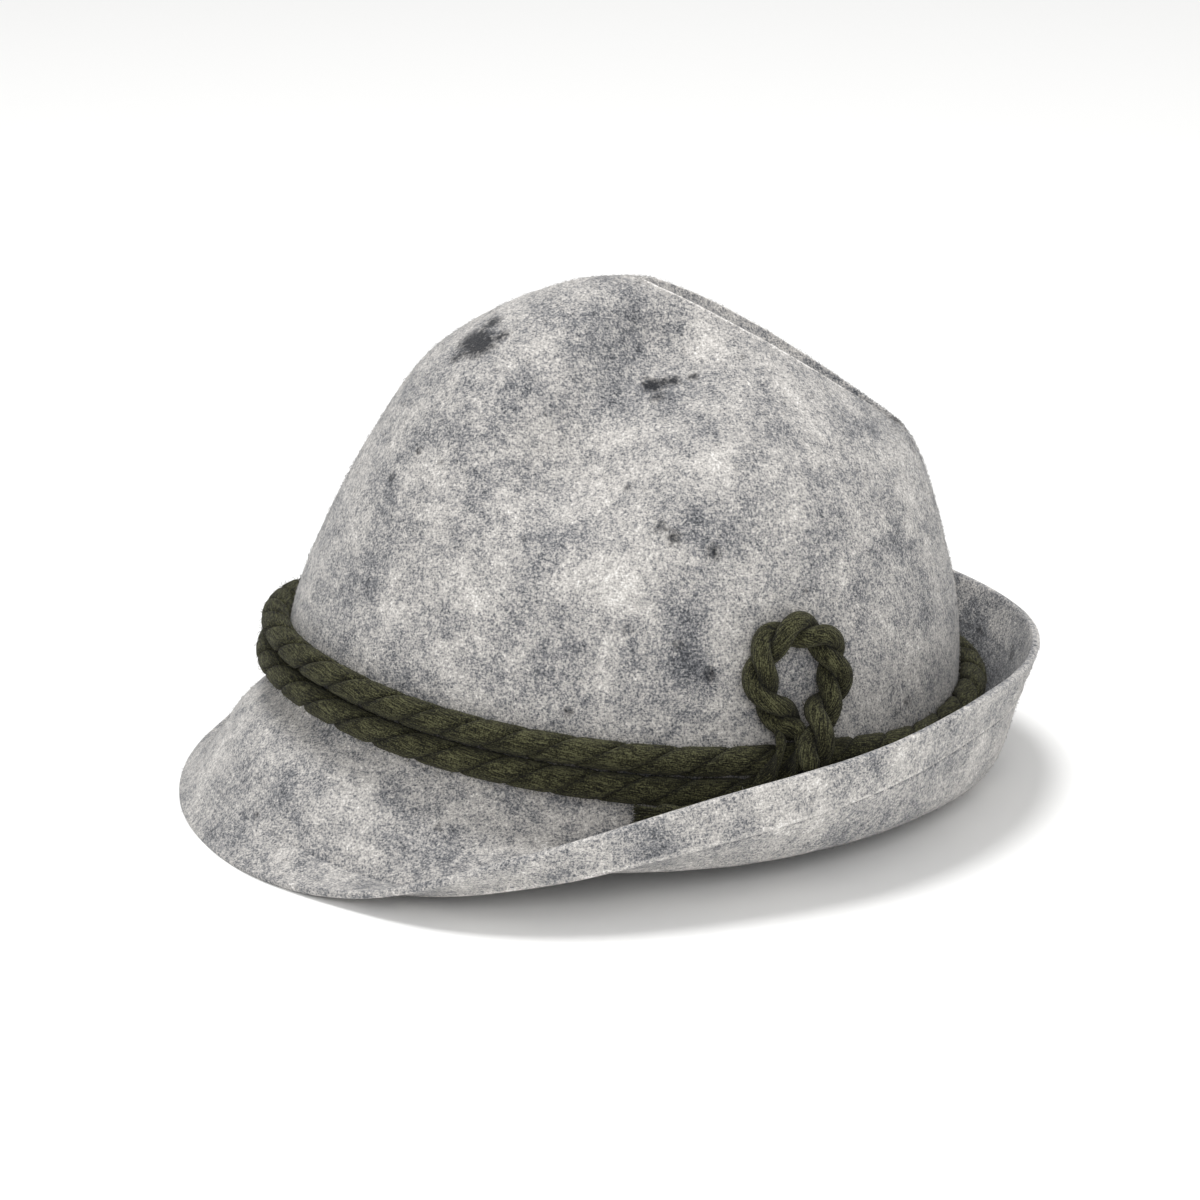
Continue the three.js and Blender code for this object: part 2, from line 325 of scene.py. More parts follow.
# Wool felt: wet wool pressed and blocked over a wooden form. Short fibres of light and dark wool lie
# every way, so the eye sees a grey speckle, soft clouds and a few dark tufts, and no gloss at all.
feltLook = {
    "dark": "#414347",
    "shade": "#7d7e81",
    "middle": "#b0adaa",
    "light": "#dcd8d3",
    # the palest speckle, and the colour of the painted highlights on the ridges
    "palestAndHighlight": "#f4f2ef",
    "tuft": "#1d1f24",
    "tuftBoost": 0.15,  # adds to each tuft's darkness
    "tuftEdge": (0.65, 1.6),  # where a tuft starts and where it is full
    "tuftCover": 0.95,
    "raggedSize": 1.1 * mm,  # locks of light wool that cross a tuft's edge
    "raggedWeight": 1.7,
    "layers": (  # size in metres, detail, roughness, weight
        (34 * mm, 2.0, 0.5, 0.4),  # clouds of the carded wool
        (10 * mm, 3.0, 0.6, 0.75),  # blotches
        (2.4 * mm, 2.0, 0.6, 0.6),  # locks
        (0.7 * mm, 1.0, 0.7, 1.1),  # specks
    ),
    "bendSize": 6 * mm,
    "bend": 7 * mm,  # how far the blotches are drawn out of round
    "fibreWidth": 0.37 * mm,  # real fibres are 0.03 mm thick, drawn coarser so that they show
    "fibreLength": 3.2 * mm,
    "fibreWeight": 1.1,
    "fibreMean": 0.6,  # what the strongest of the three streaks comes to on average
    "fibreTurns": ((0.3, 0.2, 0.0), (1.2, 0.9, 2.1), (2.3, 1.7, 0.8)),
    "markWeight": 0.19,  # how much a charted cloud counts, the painted shade among them too
    "paintedLightWeight": 0.5,  # how much the painted highlights and painted shade count
    "bumpHeight": 0.3 * mm,
    "roughness": 0.95,
    "sheen": 0.2,
}
# Darker and lighter clouds on the wearer's left: angle round the hat from the front in degrees, row of
# the crown or brim, radius in mm, and tone. Most are the felt's own mottling; the four dark ones on the
# pinch's front wall, at angles 36 to 56 and rows 4.4 to 6.1, and the two wide ones over the brim's top in
# front are painted shade.
cloudsAndShade = np.array([
    (56, 4.8, 9, -0.9), (48, 6.1, 10, -0.5), (29, 3.4, 5, -0.7), (18, 2.6, 6, -0.6), (22, 1.6, 12, -1),
    (19, 0.9, 7, -0.9), (40, 0.9, 9, -1), (58, 2.7, 6, -0.6), (86, 3.3, 8, -0.9), (86, 2.2, 6, -0.9),
    (88, 1.6, 8, -1), (98, 7.3, 6, -0.7), (128, 5.8, 7, -0.6), (135, 4.1, 7, -0.7), (134, 3.3, 7, -0.8),
    (108, 3.2, 8, -0.5), (140, 2.2, 6, -0.9), (68, 1.4, 6, -0.6), (7, 4.6, 7, -0.8), (68, 5.1, 6, -0.7),
    (66, 3.5, 10, 1), (84, 4.1, 10, 1), (67, 6.3, 8, 0.8), (69, 2.3, 11, 0.9), (48, 2.1, 9, 0.8),
    (22, 3, 6, 0.7), (34, 4.8, 7, 0.5), (104, 3.8, 6, 0.6), (94, 2, 6, 0.8), (135, 1.7, 6, 0.6),
    (72, 1.3, 6, 0.6), (24, -2, 7, -0.7), (54, -1.8, 6, -0.5), (36, -1.6, 8, 0.6), (16, -3.4, 6, -0.3),
    (84, -3, 7, -0.8), (94, -3, 6, -0.6), (75, -3.9, 6, 0.5), (107, -2.8, 8, 0.7), (117, -3.2, 6, 0.6),
    (42, 5.6, 9, -0.5), (36, 4.4, 8, -0.4), (10, -2.4, 18, -0.5), (50, -2.4, 18, -0.5),
])
# Tufts of undyed dark wool on the wearer's left: angle, row, radius in mm and darkness
tufts = np.array([
    (7, 4.6, 4.4, 1.3), (12, 4.6, 4.4, 1.3), (4, 4.9, 3.4, 0.9), (15, 4.85, 3, 0.8), (9, 4.3, 3, 0.8),
    (64, 5.2, 2.8, 1.2), (68, 5.4, 2.4, 1), (66, 5.3, 2.4, 0.9), (72, 5.6, 1.8, 0.9), (67, 5, 2.4, 0.8),
    (20, 3.2, 2.4, 0.5), (28, 3.2, 2, 0.4), (16, 2.8, 2.4, 0.6), (46, 4.2, 1.7, 0.5),
    (70, 3.6, 2, 0.6), (53, 2.7, 2.2, 0.4), (78, 3.2, 2.8, 0.7), (81, 3.1, 2.8, 0.8), (89, 3, 2.8, 0.8),
    (76, 1.9, 2.4, 0.5), (85, 1.8, 2.6, 0.6), (91, 1.5, 2.8, 0.8), (108, 2.6, 2.4, 0.4),
    (69, 0.9, 2.6, 0.6), (134, 1.1, 2.9, 0.6), (131, 1, 2.4, 0.5), (80, 6.5, 2, 0.4), (12, 0.9, 2, 0.5),
    (20, -2.8, 2.4, 0.5),
    (52, -1.6, 2.1, 0.6), (31, -3.4, 2, 0.4), (82, -3.1, 2.3, 0.6), (97, -3, 2, 0.5), (128, -2.2, 2, 0.5),
    (131, -3.9, 2.6, 0.6),
])
# More tufts on the sides that the photograph doesn't show: their number, and from where to where the
# angle, the row, the radius and the darkness are drawn
wildTufts = {"count": 46, "ranges": ((150, 350), (-3.5, 8), (1.6, 3), (0.3, 0.8))}


def newMaterial(name):
    material = bpy.data.materials.new(name)
    material.use_nodes = True
    material.node_tree.nodes.clear()
    return material, material.node_tree


def makeWoolFelt(look):
    material, tree = newMaterial("wool_felt_blocked")
    place = addNode(tree, "ShaderNodeTexCoord").outputs["Object"]
    bending = addNode(tree, "ShaderNodeTexNoise", None, {"Scale": 1 / look["bendSize"]}, {"Vector": place})
    bent = addNode(tree, "ShaderNodeVectorMath", {"operation": "MULTIPLY_ADD"}, {1: [look["bend"]] * 3},
                   {0: bending.outputs["Color"], 2: place}).outputs[0]
    # the layers add up from a start that keeps their mean in the middle of the ramp
    weights = sum(weight for *rest, weight in look["layers"])
    start = 0.5 - weights / 2 - look["fibreWeight"] * look["fibreMean"]
    tone, fine = None, None
    for size, detail, roughness, weight in look["layers"]:
        values = {"Scale": 1 / size, "Detail": detail, "Roughness": roughness}
        coordinate = bent if size > look["bendSize"] else place
        fine = addNode(tree, "ShaderNodeTexNoise", None, values, {"Vector": coordinate}).outputs[0]
        links = {0: fine} if tone is None else {0: fine, 2: tone}
        tone = addNode(tree, "ShaderNodeMath", {"operation": "MULTIPLY_ADD"}, {1: weight, 2: start},
                       links).outputs[0]
    fibres = None
    for turn in look["fibreTurns"]:
        scale = (look["fibreWidth"], look["fibreWidth"], look["fibreLength"])
        stretched = addNode(tree, "ShaderNodeMapping", {"vector_type": "TEXTURE"},
                            {"Rotation": turn, "Scale": scale}, {"Vector": place}).outputs[0]
        streaks = addNode(tree, "ShaderNodeTexNoise", None, {"Scale": 1.0, "Detail": 1.0},
                          {"Vector": stretched}).outputs[0]
        fibres = streaks if fibres is None else addNode(
            tree, "ShaderNodeMath", {"operation": "MAXIMUM"}, None, {0: fibres, 1: streaks}).outputs[0]
    tone = addNode(tree, "ShaderNodeMath", {"operation": "MULTIPLY_ADD"}, {1: look["fibreWeight"]},
                   {0: fibres, 2: tone}).outputs[0]
    # the marks: X the tufts, Y the clouds with some painted shade, Z the painted highlights and painted
    # shade
    marks = addNode(tree, "ShaderNodeAttribute", {"attribute_name": "marks"}).outputs["Vector"]
    marks = addNode(tree, "ShaderNodeSeparateXYZ", None, None, {0: marks})
    for axis, weight in (("Y", look["markWeight"]), ("Z", look["paintedLightWeight"])):
        tone = addNode(tree, "ShaderNodeMath", {"operation": "MULTIPLY_ADD"}, {1: weight},
                       {0: marks.outputs[axis], 2: tone}).outputs[0]
    colour = addNode(tree, "ShaderNodeValToRGB",
                     {"stops": ((0.0, look["dark"]), (0.3, look["shade"]), (0.52, look["middle"]),
                                (0.85, look["light"]), (1.0, look["palestAndHighlight"]))}, None, {0: tone}).outputs[0]
    ragged = addNode(tree, "ShaderNodeTexNoise", None, {"Scale": 1 / look["raggedSize"], "Detail": 2.0},
                     {"Vector": place})
    edge = addNode(tree, "ShaderNodeMath", {"operation": "MULTIPLY_ADD"}, {1: look["raggedWeight"]},
                   {0: ragged.outputs[0], 2: marks.outputs["X"]})
    edgeStart, edgeEnd = look["tuftEdge"]
    tuft = addNode(tree, "ShaderNodeMapRange", None,
                   {"From Min": edgeStart, "From Max": edgeEnd, "To Max": look["tuftCover"]},
                   {"Value": edge.outputs[0]})
    colour = addNode(tree, "ShaderNodeMix", {"data_type": "RGBA"}, {7: linearColour(look["tuft"])},
                     {0: tuft.outputs[0], 6: colour}).outputs[2]
    height = addNode(tree, "ShaderNodeMath", {"operation": "ADD"}, None, {0: fine, 1: fibres})
    bump = addNode(tree, "ShaderNodeBump", None, {"Strength": 0.8, "Distance": look["bumpHeight"]},
                   {"Height": height.outputs[0]})
    shader = addNode(tree, "ShaderNodeBsdfPrincipled", None,
                     {"Roughness": look["roughness"], "Sheen Weight": look["sheen"], "Sheen Roughness": 0.5,
                      "Specular IOR Level": 0.15},
                     {"Base Color": colour, "Normal": bump.outputs[0]})
    addNode(tree, "ShaderNodeOutputMaterial", None, None, {"Surface": shader.outputs[0]})
    return material


woolFelt = makeWoolFelt(feltLook)


# For each point of the felt: how deep it lies in the nearest tuft, the tone of the clouds and painted shade
# there, and a zero that makeFelt replaces by the painted highlights and painted shade
def feltMarks(points):
    def distance(angle, row, radius):
        return np.linalg.norm(points - feltPoint(angle * degree, row), axis=-1) / (radius * mm)

    generator = np.random.default_rng(11)
    wild = [generator.uniform(low, high, wildTufts["count"]) for low, high in wildTufts["ranges"]]
    depth, tone = np.full(len(points), -3.0), np.zeros(len(points))  # -3 is outside every tuft
    for angle, row, radius, darkness in np.concatenate((tufts, np.column_stack(wild))):
        depth = np.maximum(depth, darkness + feltLook["tuftBoost"] - distance(angle, row, radius))
    # the charted clouds, some of them painted shade on the pinch and over the front of the brim
    for angle, row, radius, cloudTone in cloudsAndShade:
        tone += cloudTone * np.exp(-distance(angle, row, radius) ** 2)
    return np.stack((depth, tone, np.zeros(len(points))), -1)


# Rows of points over the felt's outside and back up its inside: where each stretch starts, and its steps.
# They lie closest beside the press line.
outerStretches = (
    (floorRow, 16), (ridgeRow, 110), (0, 8), (-1, 14), (-2, 8), (-2.8, 16), (-3.2, 8), (edgeRow, 0),
)
innerStretches = (
    (edgeRow, 8), (-3.2, 20), (-2.8, 7), (-2, 12), (-1, 8), (0, 44), (ridgeRow, 12), (floorRow, 0),
)


def rowsAlong(stretches):
    rows = []
    for (start, steps), (end, *rest) in zip(stretches, stretches[1:]):
        rows += list(np.linspace(start, end, steps, endpoint=False))
    return rows + [stretches[-1][0]]


def makeFelt():
    half = felt["thickness"] / 2
    section = [(row, 0.0, 0.0) for row in rowsAlong(outerStretches)]
    for step in range(1, felt["stepsOverEdge"]):
        turn = math.pi * step / felt["stepsOverEdge"]
        section.append((edgeRow, half - half * math.cos(turn), felt["edgeBulge"] * half * math.sin(turn)))
    section += [(row, felt["thickness"], 0.0) for row in rowsAlong(innerStretches)]
    rows, depths, bulges = np.array(section).T[:, :, None]
    # the press that turned the lip over left a low ridge below it and a groove beside the ridge
    fromLine = (rows - lipRow) / felt["pressLineWidth"]
    line = np.exp(-fromLine ** 2)
    fold = line - felt["pressGroove"] * np.exp(-(fromLine - felt["pressGroovePlace"]) ** 2)
    below = depths > half
    depths = depths + felt["pressLine"] * np.where(below, fold, felt["pressLineAbove"] * line)
    # masks for the painted highlight on the ridges and the painted shade in the crease and in the trough
    # behind
    fromRidge = rows - ridgeRow
    paintedRidgeHighlight = np.exp(-((fromRidge - feltPaintedLight["highlightPlace"]) / feltPaintedLight["highlightWidth"]) ** 2)
    crease = np.interp(fromRidge, feltPaintedLight["creaseRows"], (0, 1))
    paintedTroughShade = np.interp(rows, feltPaintedLight["paintedTroughRows"], feltPaintedLight["paintedTroughShares"])
    angles = np.linspace(math.pi, -math.pi, felt["stepsAround"], endpoint=False)[None, :]
    angles, rows = np.broadcast_arrays(angles, rows)
    normals = feltNormal(angles, rows)
    points = feltPoint(angles, rows) - normals * depths[..., None]
    edge = feltPoint(angles[:1], np.full_like(angles[:1], edgeRow))
    outward = edge - feltPoint(angles[:1], np.full_like(angles[:1], edgeRow + 0.1))
    outward /= np.linalg.norm(outward, axis=-1, keepdims=True)
    points = points + outward * bulges[..., None]
    marks = feltMarks(points.reshape(-1, 3))
    # the painted highlights and painted shade for the tone: the ridges, the crease, the trough behind, and
    # the press line, light on its ridge and dark in its groove
    paintedLight = feltPaintedLight["crease"] * crease + feltPaintedLight["paintedLineShadeAbove"] * line
    paintedLight = paintedLight + feltPaintedLight["paintedRidgeHighlight"] * paintedRidgeHighlight * np.clip(feltPaintedLight["highlightFront"] + np.cos(angles), 0, 1)
    paintedLight = paintedLight + feltPaintedLight["paintedTroughShade"] * paintedTroughShade * np.clip(-np.cos(angles), 0, 1)
    marks[:, 2] = np.where(below, feltPaintedLight["line"] * fold, paintedLight).ravel()
    waves = np.array([noise.noise(Vector(p) / felt["waveSize"]) for p in points.reshape(-1, 3)])
    points = points + normals * (felt["waviness"] * waves.reshape(rows.shape))[..., None]
    points = atRest(points)
    points[..., 2] = np.maximum(points[..., 2], 0)
    return makePiece("hat_felt", points.reshape(-1, 3), gridFaces(*rows.shape), woolFelt, ["felt_body"],
                     merge=1e-6, attributes={"marks": marks})


hatFelt = makeFelt()
print("felt:", len(hatFelt.data.polygons), "faces")

# Cord: two plies of soft wool yarn, twisted to the left. Each ply is pressed flat against the other.
cord = {
    "diameter": 7.6 * mm,
    "gap": 0.5 * mm,
    "lowerHeight": 5.9 * mm,
    "upperHeight": 14.4 * mm,
    "lowerStart": 0.4,  # turn of the first ply where the run starts, in radians
    "upperStart": 1.9,
    "turns": 22,  # of twist in one run
    "step": 0.75 * mm,  # between the rings of points along a ply
    "plyRadius": 2.35 * mm,
    "plyWidth": 3.65 * mm,  # half a ply's width, across the line from the cord's centre
    "helixRadius": 1.9 * mm,
    "uneven": 0.35,  # how far the twist runs ahead or behind, in radians
    "unevenWaves": 5,
    "clearance": 0.02 * mm,  # between the plies, where they are pressed flat
    "sides": 20,
    "routeSteps": 720,  # places round the crown at which a run's route is worked out
    "tipDrawn": 0.96,  # how far a ply's cut end is drawn in, 1 for a point
    "grooveTurn": 0.55,  # cosine of the turn at which a ply's side goes down into the groove; below it the painted groove shade darkens the wool
    "hairyFrom": -0.4,  # from that cosine, where the loose fibres on a ply's outside begin
}
# Wool cord: loose worsted yarn, doubled and twisted, so the yarns on the outside run along the cord.
# Dull olive, with fine fibres that catch a little light and deep grooves between the plies, and painted
# shade that darkens the wool towards the grooves.
cordLook = {
    "dark": "#0c0c06",
    "middle": "#2d2c1b",
    "light": "#5d5d42",
    "yarnWidth": 1.2 * mm,
    "yarnLength": 7.6 * mm,
    "yarnWeight": 0.35,
    "fibreWidth": 0.25 * mm,  # drawn coarser than the real 0.03 mm
    "fibreLength": 1.9 * mm,
    "fibreWeight": 1.9,
    "grainSize": 0.45 * mm,  # crimp of the single hairs
    "grainWeight": 1.6,
    "patchSize": 9 * mm,
    "patchWeight": 0.3,
    "grooveShadeWeight": 0.11,  # painted shade: how much darker the wool is painted towards the grooves
    "bumpHeight": 0.4 * mm,
    "untwist": 1.6,  # the yarns turn back as the plies turn on, which lays them along the cord
    "roughness": 0.95,
    "sheen": 0.04,
}


def makeWoolCord(look):
    material, tree = newMaterial("wool_cord_twisted")
    along = addNode(tree, "ShaderNodeAttribute", {"attribute_name": "fibre"}).outputs["Vector"]
    place = addNode(tree, "ShaderNodeTexCoord").outputs["Object"]
    patches = addNode(tree, "ShaderNodeTexNoise", None, {"Scale": 1 / look["patchSize"]}, {"Vector": place})
    weights = [look[key] for key in ("patchWeight", "yarnWeight", "fibreWeight", "grainWeight")]
    tone = addNode(tree, "ShaderNodeMath", {"operation": "MULTIPLY_ADD"},
                   {1: look["patchWeight"], 2: 0.5 - sum(weights) / 2}, {0: patches.outputs[0]}).outputs[0]
    grain = addNode(tree, "ShaderNodeTexNoise", None, {"Scale": 1 / look["grainSize"]}, {"Vector": place})
    tone = addNode(tree, "ShaderNodeMath", {"operation": "MULTIPLY_ADD"}, {1: look["grainWeight"]},
                   {0: grain.outputs[0], 2: tone}).outputs[0]
    # painted shade: the wool darker towards the grooves between the plies
    facing = addNode(tree, "ShaderNodeAttribute", {"attribute_name": "groove"}).outputs["Vector"]
    facing = addNode(tree, "ShaderNodeSeparateXYZ", None, None, {0: facing})
    tone = addNode(tree, "ShaderNodeMath", {"operation": "MULTIPLY_ADD"}, {1: look["grooveShadeWeight"]},
                   {0: facing.outputs["X"], 2: tone}).outputs[0]
    streaks = None
    for kind in ("yarn", "fibre"):
        width, length, weight = (look[kind + part] for part in ("Width", "Length", "Weight"))
        stretched = addNode(tree, "ShaderNodeVectorMath", {"operation": "MULTIPLY"},
                            {1: (1 / length, 1 / width, 1 / width)}, {0: along}).outputs[0]
        streaks = addNode(tree, "ShaderNodeTexNoise", None, {"Scale": 1.0, "Detail": 2.0},
                          {"Vector": stretched}).outputs[0]
        tone = addNode(tree, "ShaderNodeMath", {"operation": "MULTIPLY_ADD"}, {1: weight},
                       {0: streaks, 2: tone}).outputs[0]
    stops = ((0.2, look["dark"]), (0.5, look["middle"]), (0.9, look["light"]))
    colour = addNode(tree, "ShaderNodeValToRGB", {"stops": stops}, None, {0: tone})
    bump = addNode(tree, "ShaderNodeBump", None, {"Strength": 1.0, "Distance": look["bumpHeight"]},
                   {"Height": streaks})
    values = {"Roughness": look["roughness"], "Sheen Weight": look["sheen"], "Specular IOR Level": 0.2}
    shader = addNode(tree, "ShaderNodeBsdfPrincipled", None, values,
                     {"Base Color": colour.outputs[0], "Normal": bump.outputs[0]})
    addNode(tree, "ShaderNodeOutputMaterial", None, None, {"Surface": shader.outputs[0]})
    return material


woolCord = makeWoolCord(cordLook)


# A point beside the crown: its angle from the front, its height above the crown's foot, to which the
# cords' rise is added, and how far it stands off the felt
def besideCrown(angle, height, out):
    angle, height, out = np.broadcast_arrays(angle, np.asarray(height, float), np.asarray(out, float))
    height = height + brimValues(angle)["rise"]
    row = np.maximum(height, 0) / dict(zip(crownColumns, crownRows[1]))["frontZ"]
    outward = feltNormal(angle, np.maximum(row, 0.02))  # just above the foot, clear of the brim's turn
    points = feltPoint(angle, row) + outward * out[..., None]
    points[..., 2] += np.minimum(height, 0)
    return atRest(points), atRest(outward, 0)


# Evenly spaced points and outward directions along a route
def evenSteps(points, outward, spacing, closed):
    if closed:
        points, outward = np.concatenate((points, points[:1])), np.concatenate((outward, outward[:1]))
    lengths = np.concatenate(([0], np.cumsum(np.linalg.norm(np.diff(points, axis=0), axis=1))))
    count = max(4, round(lengths[-1] / spacing))
    at = np.linspace(0, lengths[-1], count, endpoint=not closed)
    points, outward = (
        np.stack([np.interp(at, lengths, column) for column in table.T], -1) for table in (points, outward)
    )
    return points, outward, at, lengths[-1]


def unit(vectors):
    return vectors / np.linalg.norm(vectors, axis=-1, keepdims=True)


def tangents(points, closed):
    if closed:
        return unit(np.roll(points, -1, 0) - np.roll(points, 1, 0))
    return unit(np.gradient(points, axis=0))


woolEnds = []  # places on the cords where loose fibres stand out


# The plies of a twisted cord: for each, its rings of points, and where on the wool each point lies
def twistPlies(points, outward, closed, twist, plies=2, start=0.0):
    centre, normal, at, length = evenSteps(points, outward, twist["step"], closed)
    tangent = tangents(centre, closed)
    normal = unit(normal - (normal * tangent).sum(-1, keepdims=True) * tangent)
    side = np.cross(tangent, normal)
    turns = twist["turns"] if closed else length / twist["pitch"]
    plyRadius, plyWidth, helixRadius = twist["plyRadius"], twist["plyWidth"], twist["helixRadius"]
    rings, fibre = [], []
    for ply in range(plies):
        phase = start - 2 * math.pi * (turns * at / length - ply / plies)
        wave = np.sin(2 * math.pi * cord["unevenWaves"] * at / length + start)
        phase = phase + twist.get("uneven", 0) * wave
        arm = np.cos(phase)[:, None] * normal + np.sin(phase)[:, None] * side
        plyCentre = centre + helixRadius * arm
        plyTangent = tangents(plyCentre, closed)
        first = unit(arm - (arm * plyTangent).sum(-1, keepdims=True) * plyTangent)
        second = np.cross(plyTangent, first)
        theta = np.linspace(0, 2 * math.pi, cord["sides"], endpoint=False)
        outwards = np.maximum(plyRadius * np.cos(theta), cord["clearance"] - helixRadius)
        across = plyWidth * np.sin(theta)
        ring = outwards[None, :, None] * first[:, None] + across[None, :, None] * second[:, None]
        rings.append(plyCentre[:, None] + ring)
        yarnTurn = theta[None, :] + cordLook["untwist"] * phase[:, None]
        along = np.broadcast_to(at[:, None], yarnTurn.shape) + 0.5 * ply  # half a metre on, so plies differ
        # painted groove shade, lower towards the grooves between the plies
        facing = np.broadcast_to(np.cos(theta) - cord["grooveTurn"], yarnTurn.shape)
        fibre.append(np.stack((along, plyWidth * np.cos(yarnTurn), plyWidth * np.sin(yarnTurn), facing), -1))
    return rings, fibre


def cordMesh(name, groups, nodes):
    points, faces, fibre, start = [], [], [], 0
    for rings, coordinates, closed in groups:
        for ring, coordinate in zip(rings, coordinates):
            steps, sides = ring.shape[:2]
            points.append(ring.reshape(-1, 3))
            fibre.append(coordinate.reshape(-1, 4))
            faces += (gridFaces(steps, sides, closed) + start).tolist()
            if not closed:
                faces.append([start + index for index in range(sides)][::-1])
                faces.append([start + (steps - 1) * sides + index for index in range(sides)])
            start += steps * sides
            outward = unit(ring - ring.mean(1, keepdims=True))
            outer = coordinate[..., 3] > cord["hairyFrom"]
            woolEnds.append((ring[outer], outward[outer], coordinate[outer], steps * sides))
    fibre = np.concatenate(fibre)
    # the painted groove shade, kept as an attribute
    groove = np.pad(fibre[:, 3:], ((0, 0), (0, 2)))
    return makePiece(name, np.concatenate(points), faces, woolCord, nodes,
                     attributes={"fibre": fibre[:, :3], "groove": groove})


def makeRun(name, height, node, start):
    angles = np.linspace(-math.pi, math.pi, cord["routeSteps"], endpoint=False)
    points, outward = besideCrown(angles, height, cord["diameter"] / 2 + cord["gap"])
    rings, fibre = twistPlies(points, outward, True, cord, start=start)
    return cordMesh(name, [(rings, fibre, True)], [node])


makeRun("band_cord_lower", cord["lowerHeight"], "cord_lower", cord["lowerStart"])
makeRun("band_cord_upper", cord["upperHeight"], "cord_upper", cord["upperStart"])
print("band: two runs of cord")

# Standing loop on the wearer's left: angle round the crown from the front, height above the crown's foot
# and how far the cord's centre stands off the felt, in degrees and mm
loop = {
    "pitch": 23 * mm,
    "plyRadius": 2.75 * mm,
    "plyWidth": 2.95 * mm,
    "helixRadius": 2.55 * mm,
    "start": 0.6,  # turn of the first ply, in radians
    "step": 0.6 * mm,
    "tip": 3 * mm,  # how far from an end a ply starts to draw in
}
loopRoute = np.array([
    (105.9, 20.2, 7),  # left leg, on the upper run
    (104.5, 24.1, 5.4),
    (101.2, 29.3, 5.4),
    (98.6, 37.5, 5.4),
    (99.3, 45.9, 5.4),
    (101.9, 50.5, 5.4),
    (105.3, 51.1, 5.4),  # top
    (108.8, 48.9, 5.4),
    (111.6, 42.8, 5.4),
    (112.4, 35.2, 5.4),
    (110.9, 30.2, 6.4),
    (108.7, 26, 9.6),
    (107.5, 20.7, 13.4),  # right leg, over both runs
    (107, 13, 14),
])
# The wraps lean: each row is turned on from the wrap's own angle
wrapAngles = (99.8, 102.9)
wrapRoute = np.array([
    (2.6, 20.4, 5.5),  # hidden end behind the upper run
    (2.3, 19.7, 9.2),
    (1.6, 15.9, 10.9),
    (0.7, 10.2, 10.9),
    (0, 4.8, 10.8),
])
tailRoute = np.array([
    (97.5, -0.8, 10.6),
    (92.5, -1.1, 10.6),
    (87, -1.6, 10.6),
    (81.5, -2.3, 10.6),  # frayed end
])
wrap = {
    "pitch": 40 * mm,
    "plyRadius": 2.4 * mm,
    "plyWidth": 2.8 * mm,
    "helixRadius": 0.0,  # one ply on its own, flat on the side that lies on the cords
    "step": 0.5 * mm,
    "tip": 1.5 * mm,
}
tail = {
    "pitch": 27.6 * mm,
    "plyRadius": 2.2 * mm,
    "plyWidth": 2.6 * mm,
    "helixRadius": 1.4 * mm,
    "start": 1.0,
    "step": 0.6 * mm,
    "tip": 3 * mm,
    "twistedShare": 0.79,  # of the route, before the cord frays
    "yarns": 46,
    "yarnSides": 6,
    "yarnRadius": 0.28 * mm,
    "yarnLength": 10 * mm,
    "yarnShares": (0.75, 1.15),  # the shortest and the longest yarn, as shares of that length
    "yarnSpread": 1.6 * mm,  # from the cord's line where the yarns start, and twice that at their tips
    "yarnWave": 0.25 * mm,
    "yarnWaveTurn": (3, 8),  # radians from a yarn's start to its tip
    "yarnShift": (13 * mm, 1.7 * mm),  # from one yarn's place in the wool's pattern to the next one's
    "yarnAround": 0.3 * mm,  # how much of the pattern a yarn takes up round itself
    "yarnStep": 0.8 * mm,
}


def routePoints(route, steps=240):
    angle, height, out = route.T
    points, outward = besideCrown(angle * degree, height * mm, out * mm)
    at = np.linspace(0, len(route) - 1, steps)
    return alongTable(points, at), alongTable(outward, at)


# Draws the ends of a ply in to a round tip
def roundEnds(rings, reach):
    for ring in rings:
        centre = ring.mean(1, keepdims=True)
        along = np.concatenate(([0], np.cumsum(np.linalg.norm(np.diff(centre[:, 0], axis=0), axis=1))))
        share = np.clip(np.minimum(along, along[-1] - along) / reach, 0, 1)
        drawn = np.sqrt(1 - (1 - share) ** 2 * cord["tipDrawn"])
        ring[:] = centre + (ring - centre) * drawn[:, None, None]
    return rings


def makeLoop():
    points, outward = routePoints(loopRoute)
    rings, fibre = twistPlies(points, outward, False, loop, start=loop["start"])
    return cordMesh("band_loop", [(roundEnds(rings, loop["tip"]), fibre, False)], ["cord_loop"])


def makeWrap(name, node, angle):
    points, outward = routePoints(wrapRoute + (angle, 0, 0), 80)
    rings, fibre = twistPlies(points, outward, False, wrap, plies=1)
    return cordMesh(name, [(roundEnds(rings, wrap["tip"]), fibre, False)], [node])


